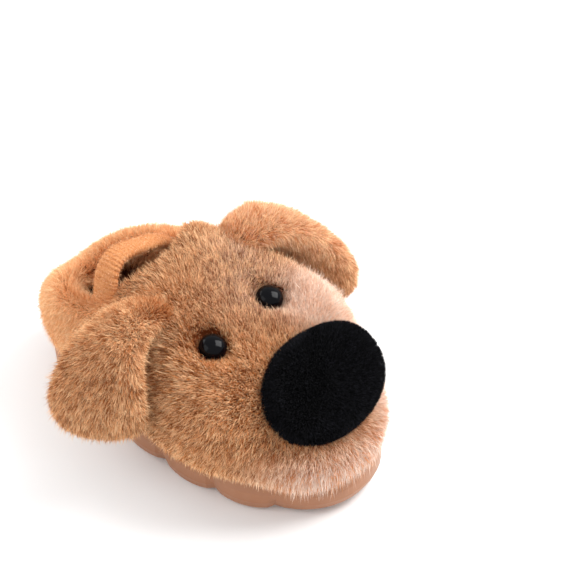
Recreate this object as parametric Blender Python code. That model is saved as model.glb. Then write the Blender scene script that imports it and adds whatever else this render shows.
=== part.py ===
# A small child's plush slipper with a dog's face, for the right foot.
#
# A moulded foam cupsole carries one hollow plush upper. The front of the upper is the dog's head and its
# back is a low collar with a rolled edge. Two stuffed ears, a padded nose, two bead eyes and an elastic
# ankle strap are sewn on, and a footbed pad lies inside. Plush is modelled to the tips of its pile.
#
# Metres. The toe points to -Y, the wearer's left is +X, and the floor is Z = 0 under the ball of the foot.

import math
from collections import namedtuple

import bpy
import bmesh
import numpy as np
from mathutils import Matrix, Quaternion, Vector

CLEARANCE = 0.0003          # between pieces that touch

# Outsole
SOLE_LENGTH = 0.176
BALL_WIDTH = 0.085
WAIST_WIDTH = 0.077
HEEL_WIDTH = 0.074
TOE_SWING = 0.003           # how far the toe bends to the inner side
SOLE_SIDE = 0.021           # height of the side wall
FOOTBED = 0.013             # height of the cup's floor
RIM_INSET = 0.0072          # from the widest outline to the inside of the rim
SIDE_ROUND = 0.0075         # how far the side wall's rounded edges curve in
TOE_LOBE = 0.084            # length of the one wide lobe round the toe
HEEL_LOBE = 0.050
SIDE_LOBES = 5              # on each side
LOBE_SWELL = 0.0026
NOTCH_RISE = 0.0022         # how far the bottom edge lifts between lobes
TOE_SPRING = 0.0035
TOE_SPRING_START = 0.056    # from the middle of the sole to where the toe begins to lift
ARCH_RISE = 0.002
ARCH_CENTRE = 0.027
ARCH_HALF_SPAN = 0.019
GROOVE_WIDTH = 0.0032
GROOVE_DEPTH = 0.0018
GROOVE_MARGIN = 0.0125      # from a groove's end to the outline
GROOVE_WAVE = 0.0016
GROOVE_WAVELENGTH = 0.018
GROOVE_PITCH = 0.0105
FOREFOOT_GROOVES = 5
FOREFOOT_GROOVE_START = -0.054
HEEL_GROOVES = 3
HEEL_GROOVE_START = 0.052

# Upper
OPENING_CENTRE = 0.0455     # middle of the foot opening, behind the middle of the sole
OPENING_HALF_LENGTH = 0.0315
OPENING_HALF_WIDTH = 0.0355
CROWN_HEIGHT = 0.083        # top of the head at the throat, before the edge is rolled
CROWN_TILT = 0.004          # how much higher the crown stands on the inner side, and lower on the outer
COLLAR_SIDE_HEIGHT = 0.060
COLLAR_HEEL_HEIGHT = 0.048
PLUSH_BULGE = 0.005         # how far the plush swells over the side of the sole
BASE_WALL = 0.005           # plush, wadding and lining pressed into the cup
HEAD_WALL = 0.008
COLLAR_WALL = 0.012         # the rolled edge at the heel

# Trims
EYE_DIAMETER = 0.012
EYE_DOME = 0.0046
EYE_STEM = 0.003            # how deep the bead sits in the pile
EYE_SPACING = 0.037
EYE_SIDE = -0.0015          # how far the pair is sewn towards the outer side
EYE_FORWARD = 0.024         # from the middle of the sole towards the toe
NOSE_WIDTH = 0.062
NOSE_HEIGHT = 0.044
NOSE_THICKNESS = 0.010
NOSE_SINK = 0.010           # how deep the nose's edge runs down into the plush
NOSE_FORWARD = SOLE_LENGTH * 0.37
NOSE_SIDE = 0.003           # how far it is sewn towards the inner side
NOSE_TILT = 47.0            # degrees that the nose looks up
EAR_WIDTH = 0.043
EAR_THICKNESS = 0.018
EAR_REACH = 0.063           # from the middle plane to the ear's farthest place
EAR_TOP_HEIGHT = 0.080
EAR_TIP_HEIGHT = 0.033
STRAP_WIDTH = 0.0130
STRAP_THICKNESS = 0.0055
STRAP_TOP_HEIGHT = 0.0785
STRAP_END_HEIGHT = 0.050
STRAP_BACK = 0.035          # from the middle of the sole towards the heel
STRAP_SKEW = -0.003         # how far the outer end stands behind the middle, and the inner one before it
STRAP_LEAN = 0.006          # how much higher the outer end stands than the middle, and the inner one lower
STRAP_TIP = 0.006           # how much more its arch leans that way
INSOLE_THICKNESS = 0.004

# The sole's outline: half-widths from toe to heel, by share of the length.
Station = namedtuple("Station", "share half_width")
OUTLINE = (
    Station(0.00, BALL_WIDTH / 2),
    Station(0.30, BALL_WIDTH / 2),
    Station(0.58, WAIST_WIDTH / 2),
    Station(0.84, HEEL_WIDTH / 2),
    Station(1.00, HEEL_WIDTH / 2),
)
TOE_ROUNDNESS = 2.35        # exponent of the outline's end curve: 2 is an ellipse
HEEL_ROUNDNESS = 2.3

# The side wall from the floor up: rise as a share of its height, inset as a share of SIDE_ROUND, and how
# much of the lobes' swell shows.
Rung = namedtuple("Rung", "rise inset swell")
SIDE_WALL = (
    Rung(0.00, 1.00, 0.00),
    Rung(0.02, 0.53, 0.70),
    Rung(0.13, 0.24, 1.00),
    Rung(0.33, 0.08, 1.00),
    Rung(0.58, 0.05, 0.70),
    Rung(0.80, 0.16, 0.35),
    Rung(0.95, 0.35, 0.10),
    Rung(1.00, 0.56, 0.00),
)

# The upper's ribs, by their angle round the shoe from the toe. Each swells over the sole's side to its
# widest place, bulge of PLUSH_BULGE out and waist of its height up, then leans in to the foot opening's
# edge, lag degrees back from its own angle. There turn is how far it has leaned (90 is level). A slant
# above 1 flattens its shoulder into a slope, and tilt is its share of CROWN_TILT.
Rib = namedtuple("Rib", "angle height waist bulge lag turn slant tilt wall")
RIBS = (
    Rib(0, CROWN_HEIGHT, 0.37, 0.00, 0, 80, 1.45, 0.00, HEAD_WALL),
    Rib(30, CROWN_HEIGHT, 0.37, 0.45, 19, 80, 1.26, 0.25, HEAD_WALL),
    Rib(60, CROWN_HEIGHT * 0.99, 0.38, 1.10, 36, 76, 1.00, 0.60, HEAD_WALL),
    Rib(90, CROWN_HEIGHT * 0.93, 0.42, 1.15, 46, 66, 0.86, 1.00, HEAD_WALL),
    Rib(120, COLLAR_SIDE_HEIGHT, 0.60, 0.80, 38, 34, 1.00, 0.30, COLLAR_WALL * 0.8),
    Rib(150, COLLAR_SIDE_HEIGHT * 0.90, 0.62, 0.55, 6, 34, 1.00, 0.00, COLLAR_WALL),
    Rib(180, COLLAR_HEEL_HEIGHT, 0.62, 0.00, 0, 34, 1.00, 0.00, COLLAR_WALL),
)
RIB_COUNT = 76
SWELL_ROWS = 3
LEAN_ROWS = 9
ROLL_ROWS = 3

# Soft hollows and swellings of the head, in the middle plane or mirrored: places as shares of half the
# sole's width and length, spread as a share of EYE_SPACING and height as a share of HEAD_WALL.
Dent = namedtuple("Dent", "side forward spread height")
DENTS = (
    Dent(0.00, 0.02, 0.55, 0.20),           # forehead
    Dent(0.48, 0.27, 0.26, -0.95),          # eye hollows
    Dent(0.90, 0.36, 0.42, 0.85),           # cheeks
    Dent(0.00, 0.85, 0.50, 0.15),           # muzzle
)

# The nose's pad from its crown down: depth as a share of its thickness, width as a share of its own.
Layer = namedtuple("Layer", "depth width")
NOSE_PAD = (
    Layer(0.00, 0.30),
    Layer(0.05, 0.58),
    Layer(0.17, 0.80),
    Layer(0.36, 0.94),
    Layer(0.62, 1.00),
    Layer(1.00, 1.00),
)

# The ears' middle lines, from inside the head out and down to the tip: side as a share of EAR_REACH, height
# as a share of the way from tip to top, sweep as a share of an ear's own, then width and thickness.
Fold = namedtuple("Fold", "side height sweep width thickness")
EAR_FOLDS = (
    Fold(0.36, 0.84, 0.00, 0.56, 0.72),
    Fold(0.52, 0.97, 0.05, 0.64, 0.88),
    Fold(0.67, 1.00, 0.16, 0.74, 0.96),
    Fold(0.80, 0.92, 0.32, 0.85, 1.00),
    Fold(0.89, 0.76, 0.52, 0.95, 1.00),
    Fold(0.96, 0.55, 0.72, 1.03, 1.00),
    Fold(0.99, 0.35, 0.87, 1.05, 0.96),
    Fold(1.00, 0.18, 0.95, 0.97, 0.85),
    Fold(1.00, 0.07, 0.99, 0.78, 0.66),
    Fold(0.99, 0.00, 1.00, 0.44, 0.38),
)

# Each ear hangs in its own way. Root and sweep are how far forward of the middle it starts and how much
# further its tip hangs, as shares of EAR_WIDTH. Flare is how many degrees its front edge turns in, roll how
# many its back edge is let down at the root, and spread how much wider its root is, as a share of EAR_WIDTH.
Ear = namedtuple("Ear", "name side root sweep flare roll spread")
EARS = (
    Ear("right", -1, -0.05, -0.02, 28, 14, -0.20),
    Ear("left", 1, -0.14, 0.45, -26, 0, -0.10),
)


def table_value(rows, key, name, at):
    """A column of a table at a place, by a smooth curve that is level at both ends."""
    keys = [getattr(row, key) for row in rows]
    values = [getattr(row, name) for row in rows]
    slopes = [0.0] * len(rows)
    for i in range(1, len(rows) - 1):
        slopes[i] = (values[i + 1] - values[i - 1]) / (keys[i + 1] - keys[i - 1])
    at = min(max(at, keys[0]), keys[-1])
    i = max(k for k in range(len(rows) - 1) if keys[k] <= at)
    span = keys[i + 1] - keys[i]
    u = (at - keys[i]) / span
    start = values[i] * (1 + 2 * u) * (1 - u) ** 2 + slopes[i] * span * u * (1 - u) ** 2
    end = values[i + 1] * (3 - 2 * u) * u**2 - slopes[i + 1] * span * (1 - u) * u**2
    return start + end


def half_width(along, outset):
    """Half the outline's width at a place from -1, the tip of the toe, to 1."""
    roundness = TOE_ROUNDNESS if along < 0 else HEEL_ROUNDNESS
    end = (1 - abs(along) ** roundness) ** (1 / roundness)
    return (table_value(OUTLINE, "share", "half_width", (1 + along) / 2) + outset) * end


def plan_point(turn, outset):
    """A point of the outline in plan, at an angle from the toe round by the outer side (-X)."""
    along = -math.cos(turn)
    half = half_width(along, outset)
    swing = TOE_SWING * max(0.0, -along) ** 2
    side = -1 if math.sin(turn) > 0 else 1
    return Vector((swing + side * half, along * (SOLE_LENGTH / 2 + outset)))


def turns_at(lengths):
    """The angles at which the outline has run these lengths from the toe, and its whole length."""
    fine = np.linspace(0, 2 * math.pi, 2881)
    points = np.array([plan_point(turn, 0.0) for turn in fine])
    run = np.concatenate([[0.0], np.cumsum(np.linalg.norm(np.diff(points, axis=0), axis=1))])
    return np.interp(np.asarray(lengths) % run[-1], run, fine), run[-1]


def new_object(name, mesh, colour, roughness):
    """The named object of a mesh, with its own material, under the slipper's empty."""
    material = bpy.data.materials.new(name)
    material.use_nodes = True
    shader = material.node_tree.nodes["Principled BSDF"]
    shader.inputs["Base Color"].default_value = (*colour, 1.0)
    shader.inputs["Roughness"].default_value = roughness
    shader.inputs["Metallic"].default_value = 0.0
    material.diffuse_color = (*colour, 1.0)
    mesh.materials.append(material)
    piece = bpy.data.objects.new(name, mesh)
    bpy.context.scene.collection.objects.link(piece)
    piece.parent = bpy.data.objects["slipper"]
    return piece


def skin(name, rings, loop=False):
    """A closed mesh over rings of points. Its ends join if it is a loop, or are closed by strips."""
    bm = bmesh.new()
    rows = [[bm.verts.new(point) for point in ring] for ring in rings]
    count = len(rows[0])
    pairs = list(zip(rows, rows[1:] + rows[:1] if loop else rows[1:]))
    for low, high in pairs:
        for k in range(count):
            n = (k + 1) % count
            bm.faces.new((low[k], low[n], high[n], high[k]))
    if not loop:
        for ring in (rows[0], rows[-1]):
            for k in range(count // 2):
                corners = [ring[k], ring[k + 1], ring[-k - 1], ring[-k]]
                bm.faces.new(list(dict.fromkeys(corners)))
    bmesh.ops.recalc_face_normals(bm, faces=bm.faces)
    mesh = bpy.data.meshes.new(name)
    bm.to_mesh(mesh)
    bm.free()
    mesh.shade_smooth()
    mesh.set_sharp_from_angle(angle=math.radians(50))
    return mesh


def cut(piece, cutter):
    """Takes the cutter's volume away from the piece."""
    cutter.hide_render = True
    cutter.display_type = "WIRE"
    modifier = piece.modifiers.new("cut by " + cutter.name, "BOOLEAN")
    modifier.operation = "DIFFERENCE"
    modifier.object = cutter


def helper(name, mesh):
    """A cutter's object."""
    piece = bpy.data.objects.new(name, mesh)
    bpy.context.scene.collection.objects.link(piece)
    return piece


# Outsole


def lobe_columns():
    """The outline's angles and, at each, the height of its lobe from 0 in a notch to 1."""
    whole = turns_at([0.0])[1]
    side = (whole - TOE_LOBE - HEEL_LOBE) / (2 * SIDE_LOBES)
    lobes = [(TOE_LOBE, 20)] + [(side, 8)] * SIDE_LOBES + [(HEEL_LOBE, 12)] + [(side, 8)] * SIDE_LOBES
    lengths, crests = [], []
    start = -TOE_LOBE / 2
    for length, steps in lobes:
        for step in range(steps):
            share = step / steps
            lengths.append(start + share * length)
            crests.append((1 - (2 * share - 1) ** 2) ** 0.6)
        start += length
    toe_tip = lobes[0][1] // 2
    turns = turns_at(lengths)[0]
    return list(zip(np.roll(turns, -toe_tip), np.roll(crests, -toe_tip)))


def ground(y):
    """How high the underside is: it lifts at the toe and under the arch."""
    spring = max(0.0, -y - TOE_SPRING_START) / (SOLE_LENGTH / 2 - TOE_SPRING_START)
    arch = (y - ARCH_CENTRE) / ARCH_HALF_SPAN
    lift = math.cos(arch * math.pi / 2) ** 2 if abs(arch) < 1 else 0.0
    return TOE_SPRING * spring**2 + ARCH_RISE * lift


def groove(at_y):
    """The cutter of one wavy tread groove across the underside."""
    half = half_width(2 * at_y / SOLE_LENGTH, 0.0) - GROOVE_MARGIN
    steps = 12
    rings = []
    for step in range(steps + 1):
        x = half * (2 * step / steps - 1)
        y = at_y + GROOVE_WAVE * math.sin(2 * math.pi * x / GROOVE_WAVELENGTH)
        corners = ((-1, -1), (1, -1), (1, 1), (-1, 1))
        rings.append([(x, y + a * GROOVE_WIDTH / 2, b * GROOVE_DEPTH) for a, b in corners])
    return helper(f"groove at {at_y:.3f}", skin("groove", rings))


def outsole():
    columns = lobe_columns()
    rings = []
    for rung in SIDE_WALL:
        ring = []
        for turn, crest in columns:
            outset = rung.swell * LOBE_SWELL * (crest - 0.5) - rung.inset * SIDE_ROUND
            x, y = plan_point(turn, outset)
            notch = NOTCH_RISE * (1 - crest) * rung.swell * (1 - rung.rise) ** 2
            ring.append((x, y, ground(y) * (1 - rung.rise) + rung.rise * SOLE_SIDE + notch))
        rings.append(ring)
    for height in (SOLE_SIDE, FOOTBED):
        rings.append([(*plan_point(turn, -RIM_INSET), height) for turn, _ in columns])
    piece = new_object("outsole", skin("outsole", rings), (0.62, 0.38, 0.27), 0.5)
    rows = [FOREFOOT_GROOVE_START + i * GROOVE_PITCH for i in range(FOREFOOT_GROOVES)]
    rows += [HEEL_GROOVE_START + i * GROOVE_PITCH for i in range(HEEL_GROOVES)]
    for at_y in rows:
        cut(piece, groove(at_y))


# Upper


def rib_points(turn):
    """The outer line of one rib, from the cup to the edge of the foot opening, and its wall there."""
    angle = math.degrees(turn if turn <= math.pi else 2 * math.pi - turn)
    rib = Rib(angle, *(table_value(RIBS, "angle", name, angle) for name in Rib._fields[1:]))
    base = plan_point(turn, -RIM_INSET - CLEARANCE)
    widest = plan_point(turn, rib.bulge * PLUSH_BULGE)
    ends_at = math.copysign(math.radians(angle - rib.lag), math.sin(turn))
    edge = Vector((-OPENING_HALF_WIDTH * math.sin(ends_at),
                   OPENING_CENTRE - OPENING_HALF_LENGTH * math.cos(ends_at)))
    rim = SOLE_SIDE + CLEARANCE
    waist = rib.waist * rib.height
    height = rib.height - math.copysign(rib.tilt * CROWN_TILT, math.sin(turn))
    points = [(*base, FOOTBED + CLEARANCE), (*base, rim)]
    for row in range(1, SWELL_ROWS + 1):
        at = math.pi / 2 * row / SWELL_ROWS
        points.append((*base.lerp(widest, math.sin(at)), waist - (waist - rim) * math.cos(at)))
    full = math.radians(rib.turn)
    for row in range(1, LEAN_ROWS + 1):
        at = full * row / LEAN_ROWS
        inward = (1 - math.cos(at) ** rib.slant) / (1 - math.cos(full) ** rib.slant)
        rise = (math.sin(at) / math.sin(full)) ** rib.slant
        points.append((*widest.lerp(edge, inward), waist + rise * (height - waist)))
    return points, rib.wall


def normals_of(grid):
    """Outward normals of a grid of points, rib by rib and row by row."""
    around = np.roll(grid, -1, axis=0) - np.roll(grid, 1, axis=0)
    up = np.gradient(grid, axis=1)
    normals = np.cross(up, around)
    return normals / np.linalg.norm(normals, axis=2, keepdims=True)


def plan_normals(ring):
    """Level outward normals of a ring of points."""
    around = np.roll(ring, -1, axis=0) - np.roll(ring, 1, axis=0)
    level = np.stack([around[:, 1], -around[:, 0], np.zeros(len(ring))], axis=1)
    level *= np.sign(np.sum(level * ring, axis=1))[:, None]
    return level / np.linalg.norm(level, axis=1, keepdims=True)


def dented(grid):
    """The ribs with the head's hollows and swellings."""
    push = np.zeros(grid.shape[:2])
    high = np.clip(grid[..., 2] / SOLE_SIDE - 1, 0, 1)
    for dent in DENTS:
        side, forward = dent.side * BALL_WIDTH / 2, dent.forward * SOLE_LENGTH / 2
        for mirrored in {side, -side}:
            away = (grid[..., 0] - mirrored) ** 2 + (grid[..., 1] + forward) ** 2
            reach = 2 * (dent.spread * EYE_SPACING) ** 2
            push += dent.height * HEAD_WALL * np.exp(-away / reach) * high
    return grid + normals_of(grid) * push[..., None]


def outer_grid():
    """The outer face's points and normals, and each rib's wall at the opening."""
    whole = turns_at([0.0])[1]
    turns = turns_at([whole * k / RIB_COUNT for k in range(RIB_COUNT)])[0]
    ribs = [rib_points(turn) for turn in turns]
    grid = dented(np.array([points for points, _ in ribs]))
    return grid, normals_of(grid), np.array([wall for _, wall in ribs])


def upper_rings(grow=0.0):
    """Rings over the outer face, round the rolled edge and down the lining."""
    grid, normals, walls = outer_grid()
    rows = grid.shape[1]
    share = np.clip((np.arange(rows) - 1) / (rows / 2), 0, 1)
    thickness = BASE_WALL + (walls[:, None] - BASE_WALL) * share
    outer = grid + normals * grow
    inner = grid - normals * (thickness[..., None] + grow)
    # In the cup the wall stands upright, and above the rim its lining goes straight on up.
    level = plan_normals(grid[:, 0])
    for row in (0, 1):
        outer[:, row] = grid[:, row] + level * grow
        inner[:, row] = grid[:, row] - level * (BASE_WALL + grow)
    outer[:, 0, 2] -= grow
    inner[:, 0, 2] -= grow
    out = outer[:, -1] - inner[:, -1]
    centre = (outer[:, -1] + inner[:, -1]) / 2
    along = grid[:, -1] - grid[:, -2]
    along -= out * (np.sum(along * out, axis=1) / np.sum(out * out, axis=1))[:, None]
    along *= (np.linalg.norm(out, axis=1) / 2 / np.linalg.norm(along, axis=1))[:, None]
    rings = [outer[:, row] for row in range(rows)]
    for step in range(1, ROLL_ROWS + 1):
        at = math.pi * step / (ROLL_ROWS + 1)
        rings.append(centre + out / 2 * math.cos(at) + along * math.sin(at))
    rings += [inner[:, row] for row in range(rows - 1, SWELL_ROWS, -2)]
    rings += [inner[:, row] for row in (1, 0)]
    return [[tuple(point) for point in ring] for ring in rings]


def form_rings(grow):
    """Rings over the outer face alone, for a solid form that trims are fitted on."""
    grid, normals, _ = outer_grid()
    outer = grid + normals * grow
    return [[tuple(point) for point in outer[:, row]] for row in range(grid.shape[1])]


def surface_at(x, y):
    """The point of the head's outer face above a place, and its normal."""
    grid, normals, _ = outer_grid()
    front = grid[..., 1] < OPENING_CENTRE
    away = np.where(front, (grid[..., 0] - x) ** 2 + (grid[..., 1] - y) ** 2, 1.0)
    nearest = np.argsort(away, axis=None)[:4]
    weight = 1 / (away.ravel()[nearest] + 1e-7)
    z = np.average(grid[..., 2].ravel()[nearest], weights=weight)
    normal = np.average(normals.reshape(-1, 3)[nearest], axis=0, weights=weight)
    return Vector((x, y, z)), Vector(normal).normalized()


def upper():
    return new_object("upper", skin("upper", upper_rings(), loop=True), (0.55, 0.30, 0.16), 0.95)


# Trims


def turned(name, profile, steps):
    """A turned mesh about +Z from (radius, height) pairs, bottom to top."""
    rings = []
    for radius, height in profile:
        angles = [2 * math.pi * k / steps for k in range(steps)]
        rings.append([(radius * math.cos(a), radius * math.sin(a), height) for a in angles])
    return skin(name, rings)


def eye(name, side, upper_piece):
    """A bead eye, and its socket in the upper."""
    at, normal = surface_at(EYE_SIDE + side * EYE_SPACING / 2, -EYE_FORWARD)
    place = Matrix.Translation(at) @ normal.to_track_quat("Z", "Y").to_matrix().to_4x4()
    radius = EYE_DIAMETER / 2
    profile = [(radius * 0.9, -EYE_STEM), (radius, -EYE_STEM * 0.83)]
    for step in range(6):
        at_step = math.radians(15 * step)
        profile.append((radius * math.cos(at_step), EYE_DOME * math.sin(at_step)))
    profile.append((radius * 0.12, EYE_DOME))
    bead = new_object(name, turned(name, profile, 18), (0.01, 0.01, 0.012), 0.08)
    bead.matrix_world = place
    well = [(radius + CLEARANCE, -EYE_STEM - CLEARANCE), (radius + CLEARANCE, EYE_DOME * 2)]
    socket = helper(name + " socket", turned("socket", well, 18))
    socket.matrix_world = place
    cut(upper_piece, socket)


def nose(form):
    """The padded oval on the muzzle, hollowed to the head's form."""
    at, _ = surface_at(NOSE_SIDE, -NOSE_FORWARD)
    facing = Vector((0, -math.cos(math.radians(NOSE_TILT)), math.sin(math.radians(NOSE_TILT))))
    layers = [(NOSE_THICKNESS * (1 - layer.depth), layer.width) for layer in NOSE_PAD]
    layers.append((-NOSE_SINK, 1.0))
    rings = []
    for height, share in layers:
        ring = []
        for k in range(28):
            a = 2 * math.pi * k / 28
            x = NOSE_WIDTH / 2 * share * math.copysign(abs(math.cos(a)) ** 0.92, math.cos(a))
            y = NOSE_HEIGHT / 2 * share * math.copysign(abs(math.sin(a)) ** 0.92, math.sin(a))
            ring.append((x, y, height))
        rings.append(ring)
    pad = new_object("nose", skin("nose", rings), (0.008, 0.008, 0.010), 0.9)
    across = Vector((1, 0, 0))
    turn = Matrix((across, facing.cross(across), facing)).transposed().to_4x4()
    pad.matrix_world = Matrix.Translation(at) @ turn
    cut(pad, form)


def ear(pose, form, rolled_edge):
    """One stuffed ear, hanging from the head's side."""
    drop = EAR_TOP_HEIGHT - EAR_TIP_HEIGHT
    line = []
    for fold in EAR_FOLDS:
        forward = (pose.root + fold.sweep * pose.sweep) * EAR_WIDTH
        height = EAR_TIP_HEIGHT + fold.height * drop
        line.append(Vector((pose.side * fold.side * EAR_REACH, -forward, height)))
    rings = []
    for i, fold in enumerate(EAR_FOLDS):
        ahead = (line[min(i + 1, len(line) - 1)] - line[max(i - 1, 0)]).normalized()
        back = Vector((0, 1, 0))
        across = (back - ahead * back.dot(ahead)).normalized()
        turn = pose.side * (pose.flare * fold.sweep - pose.roll * (1 - fold.sweep))
        across.rotate(Quaternion(ahead, math.radians(turn)))
        through = ahead.cross(across)
        width = fold.width + pose.spread * (1 - fold.sweep)
        ring = []
        for k in range(20):
            a = 2 * math.pi * k / 20
            wide = across * (EAR_WIDTH / 2 * width * math.cos(a))
            thick = through * (EAR_THICKNESS / 2 * fold.thickness * math.sin(a))
            ring.append(line[i] + wide + thick)
        rings.append(ring)
    piece = new_object(pose.name + "_ear", skin("ear", rings), (0.60, 0.34, 0.19), 0.95)
    cut(piece, form)
    cut(piece, rolled_edge)


def strap(rolled_edge):
    """The elastic band, an arch over the opening whose ends are sewn inside the collar."""
    span = OPENING_HALF_WIDTH - COLLAR_WALL * 0.8
    steps = 22
    rings = []
    for step in range(steps + 1):
        a = math.pi * step / steps
        side = math.copysign(abs(math.cos(a)) ** 0.55, math.cos(a))
        rise = math.sin(a) ** 0.7
        z = STRAP_END_HEIGHT + (STRAP_TOP_HEIGHT - STRAP_END_HEIGHT) * rise - (STRAP_LEAN + STRAP_TIP * rise) * side
        y = STRAP_BACK - STRAP_SKEW * side
        out = Vector((math.cos(a), 0, math.sin(a)))
        ring = []
        for k in range(12):
            b = 2 * math.pi * k / 12
            wide = Vector((0, STRAP_WIDTH / 2 * math.cos(b), 0))
            ring.append(Vector((span * side, y, z)) + wide + out * (STRAP_THICKNESS / 2 * math.sin(b)))
        rings.append(ring)
    piece = new_object("strap", skin("strap", rings), (0.80, 0.42, 0.20), 0.9)
    cut(piece, rolled_edge)


def insole():
    """The footbed pad, inside the foot of the upper."""
    grid, _, _ = outer_grid()
    level = plan_normals(grid[:, 0])
    edge = grid[:, 0] - level * (BASE_WALL + CLEARANCE)
    low = FOOTBED + CLEARANCE
    rings = []
    # Share of its thickness, and how much of its rounded top edge is taken off.
    for rise, round_off in ((0.0, 0.0), (0.75, 0.0), (1.0, 0.4)):
        ring = edge - level * (round_off * INSOLE_THICKNESS)
        rings.append([(x, y, low + rise * INSOLE_THICKNESS) for x, y, _ in ring])
    new_object("insole", skin("insole", rings), (0.70, 0.45, 0.30), 0.95)


def main():
    for leftover in list(bpy.data.objects):
        bpy.data.objects.remove(leftover)
    root = bpy.data.objects.new("slipper", None)
    bpy.context.scene.collection.objects.link(root)
    outsole()
    shell = upper()
    form = helper("head form", skin("head form", form_rings(CLEARANCE * 1.5)))
    rolled_edge = helper("rolled edge form", skin("rolled edge form", upper_rings(CLEARANCE), loop=True))
    nose(form)
    for pose in EARS:
        eye(pose.name + "_eye", pose.side, shell)
        ear(pose, form, rolled_edge)
    strap(rolled_edge)
    insole()


main()
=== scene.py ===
import math
from collections import namedtuple

import bpy
import bmesh
import numpy as np
from mathutils import Matrix, Vector
from mathutils.bvhtree import BVHTree


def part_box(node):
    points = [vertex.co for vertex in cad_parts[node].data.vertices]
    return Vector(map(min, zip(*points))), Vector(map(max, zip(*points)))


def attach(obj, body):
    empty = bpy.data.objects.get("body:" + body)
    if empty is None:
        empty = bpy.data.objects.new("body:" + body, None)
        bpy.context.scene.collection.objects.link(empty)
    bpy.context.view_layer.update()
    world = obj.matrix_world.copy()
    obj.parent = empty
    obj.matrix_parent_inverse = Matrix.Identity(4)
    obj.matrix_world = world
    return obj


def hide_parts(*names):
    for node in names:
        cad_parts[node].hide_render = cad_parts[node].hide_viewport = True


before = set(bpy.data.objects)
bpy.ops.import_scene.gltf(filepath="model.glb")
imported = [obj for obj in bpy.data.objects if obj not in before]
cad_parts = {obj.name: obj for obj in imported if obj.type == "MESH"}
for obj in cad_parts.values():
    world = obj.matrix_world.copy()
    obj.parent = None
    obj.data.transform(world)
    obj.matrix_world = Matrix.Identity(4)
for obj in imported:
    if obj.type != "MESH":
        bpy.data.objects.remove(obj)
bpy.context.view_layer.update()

# The studio: the slipper stands on a white table, under one wide soft lamp above the toe's inner side, with
# weaker ones behind it and on the outer side, in a white room. The camera looks down on the toe.
VIEW_AZIMUTH = math.radians(-51.0)
VIEW_ELEVATION = math.radians(41.0)
VIEW_DISTANCE = 0.72
FRAME_WIDTH = 576.0
FOCAL_LENGTH = 1577.0           # in the same parts as the frame's width, as the next two
SLIPPER_LEFT = 81.5             # the slipper stands this far left of the frame's middle, and below it
SLIPPER_BELOW = 120.5
SENSOR = 36.0
NEAREST_SEEN = 0.01
TABLE_REACH = 4.0
TABLE_WHITE = (0.92, 0.92, 0.92)
ROOM_LIGHT = 0.92
LAMP_PLACE = Vector((0.36, -0.26, 0.52))
LAMP_WIDTH = 0.42
LAMP_WATTS = 4.8
BACK_LAMP_PLACE = Vector((-0.10, 0.62, 0.40))
BACK_LAMP_WIDTH = 0.35
BACK_LAMP_WATTS = 1.2
SIDE_LAMP_PLACE = Vector((-0.55, 0.20, 0.50))
SIDE_LAMP_WIDTH = 0.50
SIDE_LAMP_WATTS = 1.4


def finish_of(name, roughness, specular):
    """A new material, and its shader."""
    material = bpy.data.materials.new(name)
    material.use_nodes = True
    shader = material.node_tree.nodes["Principled BSDF"]
    shader.inputs["Roughness"].default_value = roughness
    shader.inputs["Specular IOR Level"].default_value = specular
    return material, shader


def node_for(material, kind, **values):
    """A new shader node, with its sockets set by name."""
    node = material.node_tree.nodes.new(kind)
    for socket, value in values.items():
        node.inputs[socket.replace("_", " ")].default_value = value
    return node


def join(material, source, target):
    """A link between two sockets of a material."""
    material.node_tree.links.new(source, target)


def show(name, mesh, material):
    """The shown object of a mesh."""
    mesh.materials.append(material)
    piece = bpy.data.objects.new(name, mesh)
    bpy.context.scene.collection.objects.link(piece)
    return piece


def hang_lamp(name, place, width, watts):
    """A square soft lamp that faces the slipper."""
    lamp = bpy.data.lights.new(name, "AREA")
    lamp.size = width
    lamp.energy = watts
    holder = bpy.data.objects.new(name, lamp)
    holder.location = place
    holder.rotation_mode = "QUATERNION"
    holder.rotation_quaternion = (-place).to_track_quat("-Z", "Y")
    bpy.context.scene.collection.objects.link(holder)


def set_camera():
    """The camera, placed from the slipper's spot in the frame."""
    back = Vector((math.sin(VIEW_AZIMUTH) * math.cos(VIEW_ELEVATION),
                   -math.cos(VIEW_AZIMUTH) * math.cos(VIEW_ELEVATION),
                   math.sin(VIEW_ELEVATION)))
    right = Vector((math.cos(VIEW_AZIMUTH), math.sin(VIEW_AZIMUTH), 0.0))
    up = back.cross(right)
    metres = VIEW_DISTANCE / FOCAL_LENGTH
    camera = bpy.data.objects.new("camera", bpy.data.cameras.new("camera"))
    camera.matrix_world = Matrix((right, up, back)).transposed().to_4x4()
    camera.location = back * VIEW_DISTANCE + right * SLIPPER_LEFT * metres + up * SLIPPER_BELOW * metres
    camera.data.sensor_width = SENSOR
    camera.data.lens = FOCAL_LENGTH / FRAME_WIDTH * SENSOR
    camera.data.clip_start = NEAREST_SEEN
    bpy.context.scene.collection.objects.link(camera)
    bpy.context.scene.camera = camera


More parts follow.
